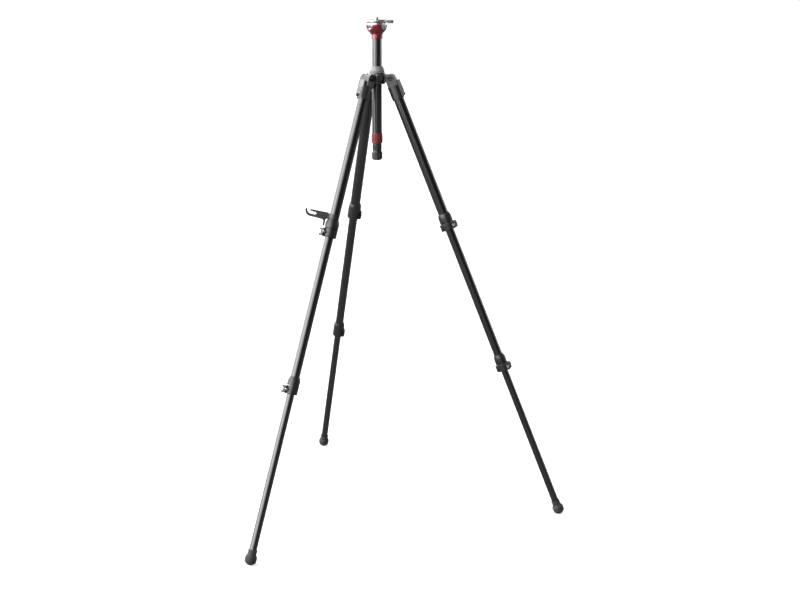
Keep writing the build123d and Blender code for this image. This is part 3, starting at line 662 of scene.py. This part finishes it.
# %% Growers
class Grower(Tree):
    """A Geometry Nodes tree with named inputs, in millimetres."""

    def __init__(self, name, inputs):
        self.group = bpy.data.node_groups.new(name, "GeometryNodeTree")
        super().__init__(self.group)
        self.keys = {}
        for label, value in inputs.items():
            kind = "NodeSocketInt" if isinstance(value, int) else "NodeSocketFloat"
            socket = self.group.interface.new_socket(label, in_out="INPUT", socket_type=kind)
            socket.default_value = value
            self.keys[label] = socket.identifier
        finish = self.group.interface.new_socket(
            "Finish", in_out="INPUT", socket_type="NodeSocketMaterial")
        self.keys["Finish"] = finish.identifier
        self.group.interface.new_socket(
            "Shape", in_out="OUTPUT", socket_type="NodeSocketGeometry")
        self.entry = self.tree.nodes.new("NodeGroupInput")

    def given(self, label):
        return Wire(self, self.entry.outputs[label])

    def vector(self, x, y, z):
        return self.node("ShaderNodeCombineXYZ", {}, {0: x, 1: y, 2: z})

    def close(self, shape):
        """Ends the tree in Realize Instances and Set Material."""
        real = self.node("GeometryNodeRealizeInstances", {}, {"Geometry": shape})
        painted = self.node("GeometryNodeSetMaterial", {},
                            {"Geometry": real, "Material": self.given("Finish")})
        self.feed(self.tree.nodes.new("NodeGroupOutput").inputs[0], painted)

    def grow(self, name, finish, place, **numbers):
        """Grows one mesh at a place and bakes it."""
        piece = bpy.data.objects.new(name, bpy.data.meshes.new(name))
        scene.collection.objects.link(piece)
        modifier = piece.modifiers.new("grow", "NODES")
        modifier.node_group = self.group
        for label, value in numbers.items():
            modifier[self.keys[label.replace("_", " ").capitalize()]] = value
        modifier[self.keys["Finish"]] = finishes[finish].material
        baked(piece)
        piece.data.transform(place @ Matrix.Scale(mm, 4))
        return piece


ribs = Grower("ribs_round_an_axis", {
    "Count": 24, "Radius": 15.0, "Height": 0.0, "Length": 10.0, "Rib": 0.8,
    "Start": 0.0, "Sweep": 360.0, "Seed": 3})
index = ribs.node("GeometryNodeInputIndex")
degree = math.pi / 180
turn = (ribs.given("Start") + ribs.given("Sweep") * index / ribs.given("Count")) * degree
spot = ribs.vector(
    ribs.maths("COSINE", turn) * ribs.given("Radius"),
    ribs.maths("SINE", turn) * ribs.given("Radius"),
    ribs.given("Height"),
)
points = ribs.node("GeometryNodePoints", {}, {"Count": ribs.given("Count"), "Position": spot})
wobble = ribs.node("FunctionNodeRandomValue", {"data_type": "FLOAT"},
                   {2: 0.94, 3: 1.06, "Seed": ribs.given("Seed")}, 1)
bead = ribs.node("GeometryNodeMeshUVSphere", {}, {"Segments": 8, "Rings": 6, "Radius": 1.0})
bead = ribs.node("GeometryNodeSetShadeSmooth", {}, {"Geometry": bead})
thick = ribs.given("Rib") * wobble
size = ribs.vector(thick, thick, ribs.given("Length") / 2 * wobble)
ribs.close(ribs.node("GeometryNodeInstanceOnPoints", {},
                     {"Points": points, "Instance": bead, "Scale": size}))

thread = Grower("helical_thread", {
    "Turns": 6.0, "Radius": 4.3, "Rise": 9.0, "Ridge": 0.6, "Detail": 24})
helix = thread.node("GeometryNodeCurveSpiral", {}, {
    "Resolution": thread.given("Detail"), "Rotations": thread.given("Turns"),
    "Start Radius": thread.given("Radius"), "End Radius": thread.given("Radius"),
    "Height": thread.given("Rise")})
ridge = thread.node("GeometryNodeCurvePrimitiveCircle", {},
                    {"Resolution": 4, "Radius": thread.given("Ridge")})
thread.close(thread.node("GeometryNodeCurveToMesh", {},
                         {"Curve": helix, "Profile Curve": ridge, "Fill Caps": True}))

caps = Grower("socket_caps", {"Radius": 7.5, "Height": 3.0, "Socket": 3.0, "Depth": 1.8})
head = caps.node("GeometryNodeMeshCylinder", {}, {
    "Vertices": 48, "Radius": caps.given("Radius"), "Depth": caps.given("Height")})
key = caps.node("GeometryNodeMeshCylinder", {}, {
    "Vertices": 6, "Radius": caps.given("Socket"), "Depth": caps.given("Depth") * 2})
key = caps.node("GeometryNodeTransform", {}, {
    "Geometry": key, "Translation": caps.vector(0.0, 0.0, caps.given("Height") / 2)})
caps.close(caps.node("GeometryNodeMeshBoolean", {"operation": "DIFFERENCE"},
                     {"Mesh 1": head, "Mesh 2": key}))
print("growers", ribs.group.name, thread.group.name, caps.group.name)

# %% [markdown]
# ## Leg tubes
#
# Each leg is three tubes that slide in one another. They are turned as hollow rings rather
# than copied, because a turned ring has perfectly even reflections along its length and brings
# the UV map that the drawn lines need. The sleeves that guide them are acetal and show only
# as a thin rim when a leg is drawn out.

# %% Tubes and sleeves
tube_wall = 1.2
sleeve_lip = 2.0
for side in sides:
    place = leg_places[side]
    for stage in ("upper", "middle", "lower"):
        node = f"{side}_{stage}_tube"
        low, high = place_box(node, place)
        outer, inner = high[0], high[0] - tube_wall
        corners = [(inner, low[2], 0.25), (outer, low[2], 0.35),
                   (outer, high[2], 0.35), (inner, high[2], 0.25)]
        settle(turned(node + "_shown", corners, place, ring=True, steps=96), "anodised", node)
        if stage == "upper":
            continue
        sleeve = node + "_bush"
        low, high = place_box(sleeve, place)
        rim = high[2] - sleeve_lip
        corners = [(outer, low[2]), (high[0], low[2]), (high[0], high[2]),
                   (inner, high[2]), (inner, rim), (outer, rim)]
        settle(turned(sleeve + "_shown", corners, place, ring=True), "acetal", sleeve)
print("turned", 3 * len(sides), "tubes and", 2 * len(sides), "sleeves")

# %% [markdown]
# ## Feet
#
# The feet are moulded rubber, round underneath so that they stand at any leg angle, with a neck
# that grips the tube. Two shallow grooves part the ball from the neck, and a ring of small pads
# underneath gives grip. The grooves are part of the turned outline; the pads repeat, so they
# are grown.

# %% Rubber feet
groove_depth = 0.7
neck = 12.2
neck_height = 12
lip = neck + 0.5
pad_ring = 0.905
pad_drop = 0.425
for side in sides:
    place = leg_places[side]
    node = side + "_foot"
    low, high = place_box(node, place)
    tube_low, tube_high = place_box(side + "_lower_tube", place)
    ball, tube = high[0], tube_high[0]
    level = low[2] + ball
    bottom = ball - groove_depth
    corners = [(0, low[2])]
    for turn in range(8, 89, 8):
        angle = math.radians(turn)
        corners += [(ball * math.sin(angle), level - ball * math.cos(angle), 20.0)]
    corners += [(ball, level + 1.0, 0.6)]
    for groove in (level + 1.6, level + 3.6):
        corners += [(ball, groove), (bottom, groove + 0.4)]
        corners += [(bottom, groove + 1.0), (ball, groove + 1.4)]
    corners += [(ball, level + 6, 2.5), (neck, high[2] - neck_height, 4.0), (neck, high[2] - 3)]
    corners += [(lip, high[2] - 2.2, 0.4), (lip, high[2], 0.5)]
    corners += [(tube, high[2], 0.3), (tube, tube_low[2]), (0, tube_low[2])]
    settle(turned(node + "_shown", corners, place), "rubber", node)
    pads = ribs.grow(node + "_pads", "rubber", place, count=22, radius=ball * pad_ring,
                     length=3.2, rib=0.9, height=level - ball * pad_drop)
    settle(pads, "rubber", node, instead=False)
print("feet", [side + "_foot" for side in sides])

# %% [markdown]
# ## Clamps and levers
#
# A split collar with a flip lever holds each sliding tube. The lever's fork turns on the eye of
# a screw that pulls the collar's ears together; a pin in the eye shows at both ends. These are
# shapes with flats, holes and slots, so they are softened copies of the frame, and the grip
# ribs near a lever's tip are grown on its back.

# %% Clamps, screws and levers
lever_tip = {"upper": -139.5, "lower": -139.0}
grip_sweep = 26.0
lever_back = 4.1
for side in sides:
    place = leg_places[side]
    for stage in ("upper", "lower"):
        settle(softened(f"{side}_{stage}_clamp", 0.55), "nylon", f"{side}_{stage}_clamp")
        settle(softened(f"{side}_{stage}_clamp_screw", 0.2), "steel", f"{side}_{stage}_clamp_screw")
        lever = f"{side}_{stage}_lever"
        settle(softened(lever, 0.6), "nylon", lever)
        low, high = place_box(lever, place)
        outer = place_box(f"{side}_{stage}_clamp", place)[1][1] + lever_back
        grip = ribs.grow(lever + "_grip", "nylon", place, count=7, radius=outer, rib=0.75,
                         length=high[2] - low[2] - 3.5, height=(low[2] + high[2]) / 2,
                         start=lever_tip[stage], sweep=grip_sweep)
        settle(grip, "nylon", lever, instead=False)
print("clamps and levers on", len(sides), "legs")

# %% [markdown]
# ## Knuckles and catches
#
# A knuckle is a fork over the shoulder's lug with a socket for the upper tube. It is a die
# casting, so its edges are softer than those of the moulded angle catch that slides in it. Both
# have slots and steps that no lathe makes, so both are softened copies. A rounding wider than
# the smallest step would fold over itself, which sets its size.

# %% Knuckles and angle catches
for side in sides:
    settle(softened(side + "_knuckle", 0.6), "casting", side + "_knuckle")
    settle(softened(side + "_angle_catch", 0.3), "grey_nylon", side + "_angle_catch")
print("knuckles", [side + "_knuckle" for side in sides])

# %% [markdown]
# ## Shoulder and pivots
#
# The shoulder is one casting with three lugs. Each leg turns on a bolt with a socket-headed cap
# at both ends. The caps repeat six times, so a grower cuts the hexagon out of the head; its
# edges are then softened like any other, and the caps are joined to one piece with the bolts.

# %% Shoulder, pivot bolts and column lock
def joined(name, parts):
    """Several plain meshes as one."""
    first = parts[0]
    with bpy.context.temp_override(active_object=first, object=first, selected_editable_objects=parts):
        bpy.ops.object.join()
    first.name = name
    return first


settle(softened("shoulder_casting", 0.9), "casting", "shoulder_casting")

bolt_radius = 4.0
cap_radius = 7.4
cap_height = 3.0
cap_start = 17.0
bolt_parts = []
for side in sides:
    hinge = joints[side + "_leg_spread"]
    axis = Vector(hinge["axis"]).normalized()
    place = axis.to_track_quat("Z", "Y").to_matrix().to_4x4()
    place.translation = Vector(hinge["pos_m"])
    shank = [(0, -cap_start), (bolt_radius, -cap_start), (bolt_radius, cap_start), (0, cap_start)]
    bolt_parts.append(turned(side + "_bolt", shank, place, steps=32))
    out = Matrix.Translation((0, 0, (cap_start + cap_height / 2) * mm))
    for end in (0, 1):
        turn = Matrix.Rotation(math.pi * end, 4, "X") @ out
        cap = caps.grow(f"{side}_cap_{end}", "black_steel", place @ turn, radius=cap_radius,
                        height=cap_height, socket=3.0, depth=1.8)
        bolt_parts.append(edges_softened(cap, 0.5, segments=3))
settle(joined("pivot_bolts_shown", bolt_parts), "black_steel", "leg_pivot_bolts")
settle(softened("column_lock_knob", 0.45), "nylon", "column_lock_knob")
print("pivot bolts", len(bolt_parts), "parts joined")

# %% [markdown]
# ## Column
#
# The column slides through the shoulder in a plastic liner under a conical cap. Both are
# turned. The guard ring at the column's foot and the knob under it are gripped by hand, so
# both carry grown ribs: fine ones round the guard, coarser ones round the knob's waist.

# %% Column, liner, cap, guard and levelling knob
column_wall = 1.5
slide_gap = 0.05
liner_wall = 1.4
liner_flange = 2
collar_gap = 0.3
collar_wall = 2.6
collar_rim = 6
plug_flange = 2.5
rod = 4.0
low, high = place_box("column_tube", upright)
column_radius = high[0]
column_bore = column_radius - column_wall
corners = [(column_bore, low[2], 0.3), (column_radius, low[2], 0.4),
           (column_radius, high[2], 0.4), (column_bore, high[2], 0.3)]
settle(turned("column_tube_shown", corners, ring=True, steps=96), "anodised", "column_tube")

low, high = place_box("column_liner", upright)
bore = column_radius + slide_gap
sleeve = bore + liner_wall
flange = high[2] - liner_flange
corners = [(bore, low[2]), (sleeve, low[2]), (sleeve, flange), (high[0], flange),
           (high[0], high[2]), (bore, high[2])]
settle(turned("column_liner_shown", corners, ring=True), "acetal", "column_liner")

low, high = place_box("collar_ring", upright)
roof = place_box("column_liner", upright)[1][2] + collar_gap
bore, wide, top = column_radius + collar_gap, high[0], column_radius + collar_wall
rim = low[2] + collar_rim
corners = [(bore, roof), (wide - collar_wall, roof), (wide - collar_wall, low[2]),
           (wide, low[2], 0.4)]
bottom = wide - 0.4
for groove in (low[2] + 1.6, low[2] + 3.4):
    corners += [(wide, groove), (bottom, groove + 0.3), (bottom, groove + 0.6), (wide, groove + 0.9)]
corners += [(wide, rim, 1.6), (top, high[2], 1.0), (bore, high[2], 0.5)]
settle(turned("collar_ring_shown", corners, ring=True, steps=96), "grey_nylon", "collar_ring")

low, high = place_box("column_end_plug", upright)
seat = low[2] + plug_flange
corners = [(rod, low[2]), (column_radius, low[2], 0.6), (column_radius, seat),
           (column_bore, seat), (column_bore, high[2]), (rod, high[2])]
settle(turned("column_end_plug_shown", corners, ring=True), "nylon", "column_end_plug")
settle(softened("draw_rod", 0.2), "steel", "draw_rod")

low, high = place_box("safety_ring", upright)
bore = column_radius + slide_gap
corners = [(bore, low[2], 0.3), (high[0], low[2], 0.5), (high[0], high[2], 0.8),
           (bore, high[2], 0.3)]
settle(turned("safety_ring_shown", corners, ring=True, steps=96), "red_plastic", "safety_ring")
guard_ribs = ribs.grow("safety_ring_ribs", "red_plastic", upright, count=48,
                       radius=high[0] - 0.1, rib=0.45, length=high[2] - low[2] - 6,
                       height=(low[2] + high[2]) / 2)
settle(guard_ribs, "red_plastic", "safety_ring", instead=False)

low, high = place_box("levelling_knob", upright)
settle(softened("levelling_knob", 0.4), "nylon", "levelling_knob")
waist_ribs = ribs.grow("levelling_knob_ribs", "nylon", upright, count=30, radius=12.5,
                       rib=0.6, length=16.0, height=high[2] - 10.5)
settle(waist_ribs, "nylon", "levelling_knob", instead=False)
print("column from", round(low[2]), "to", round(place_box("column_tube", upright)[1][2]), "mm")

# %% [markdown]
# ## Levelling head
#
# The red bowl holds a half ball that carries the camera plate. The ball shows as bare metal
# between the bowl's three arms. The plate's pad is turned with fine concentric ridges, so that
# a camera doesn't slip. The camera screw is a core with a grown helix: one ridge swept along a
# spiral, at the pitch of a 3/8 inch thread, sixteen turns to the inch.

# %% Bowl, ball, pad and camera screw
settle(softened("levelling_bowl", 0.5), "lacquer", "levelling_bowl")
settle(softened("ball_seat_liner", 0.15), "acetal", "ball_seat_liner")
settle(softened("levelling_ball", 0.4), "aluminium", "levelling_ball")

low, high = place_box("plate_pad", upright)
pad_hole, groove_count, groove_pitch, groove_depth = 8.0, 11, 1.75, 0.35
corners = [(pad_hole, low[2]), (high[0], low[2]), (high[0], high[2], 0.3)]
for groove in range(1, groove_count + 1):
    middle = high[0] - groove * groove_pitch
    bottom = high[2] - groove_depth
    corners += [(middle + 0.5, high[2], 0.15), (middle + 0.25, bottom, 0.1),
                (middle - 0.25, bottom, 0.1), (middle - 0.5, high[2], 0.15)]
corners += [(pad_hole, high[2], 0.3)]
settle(turned("plate_pad_shown", corners, ring=True, steps=96), "rubber", "plate_pad")

low, high = place_box("camera_screw", upright)
plate_top = place_box("levelling_ball", upright)[1][2]
thread_radius, thread_pitch, ridge_size = 4.7625, 1.5875, 0.62
core = thread_radius - 0.85
head_radius, head_top = 8.0, low[2] + 3
flange_radius, flange_top = 7.0, plate_top + 1.6
corners = [(0, low[2]), (head_radius, low[2]), (head_radius, head_top), (core, head_top),
           (core, plate_top), (flange_radius, plate_top, 0.2), (flange_radius, flange_top, 0.4),
           (core, flange_top, 0.2), (core, high[2], 0.8), (0, high[2])]
settle(turned("camera_screw_shown", corners), "steel", "camera_screw")
rise = high[2] - flange_top - 2 * ridge_size - 0.3
start = Matrix.Translation((0, 0, (flange_top + ridge_size) * mm))
screw_thread = thread.grow("camera_screw_thread", "steel", start, turns=rise / thread_pitch,
                           radius=thread_radius - ridge_size, rise=rise, ridge=ridge_size,
                           detail=36)
settle(screw_thread, "steel", "camera_screw", instead=False)
print("thread", round(rise / thread_pitch, 1), "turns")

# %% [markdown]
# ## Bubble level
#
# A round level sits in the plate's ear: a clear cup, yellow-green spirit, a dark ring for the
# bubble to stand in, and the bubble. The bubble is a flattened bead of its own, because a hole
# in the spirit would not show through a rough shader.

# %% Bubble level
settle(softened("bubble_level_housing", 0.12), "grey_nylon", "bubble_level_housing")
low, high = place_box("level_vial", upright)
vial = Matrix.Translation(((low[0] + high[0]) / 2 * mm, (low[1] + high[1]) / 2 * mm, 0))
vial_radius = (high[0] - low[0]) / 2
roof = high[2] - 0.9
bore = vial_radius - 0.7
corners = [(0, roof), (bore, roof, 0.3), (bore, low[2], 0.2),
           (vial_radius, low[2], 0.2), (vial_radius, high[2], 1.0), (0, high[2])]
settle(turned("level_vial_shown", corners, vial), "acrylic", "level_vial")
spirit_top, spirit_low, spirit_radius = high[2] - 1.2, low[2] + 0.2, vial_radius - 0.8
corners = [(0, spirit_low), (spirit_radius, spirit_low), (spirit_radius, spirit_top),
           (0, spirit_top)]
settle(turned("level_spirit", corners, vial), "spirit", "level_vial", instead=False)
corners = [(3.1, spirit_top), (3.6, spirit_top), (3.6, spirit_top + 0.15), (3.1, spirit_top + 0.15)]
settle(turned("level_mark", corners, vial, ring=True, soft=0.04), "nylon", "level_vial", instead=False)
corners = [(0, spirit_top), (2.2, spirit_top + 0.02, 0.2), (2.0, spirit_top + 0.22, 0.4),
           (0, spirit_top + 0.28)]
off_centre = vial @ Matrix.Translation((0.0005, 0.0004, 0))
settle(turned("level_bubble", corners, off_centre, soft=0.1), "acetal", "level_vial", instead=False)
print("level at", [round(v, 4) for v in vial.translation])

# %% [markdown]
# ## Accessory clip
#
# A sprung jaw on the left leg, moulded in one with the band that snaps round the tube. It is a
# flat shape of even thickness, so a softened copy is all that it needs.

# %% Accessory clip
settle(softened("accessory_clip", 0.25), "nylon", "accessory_clip")
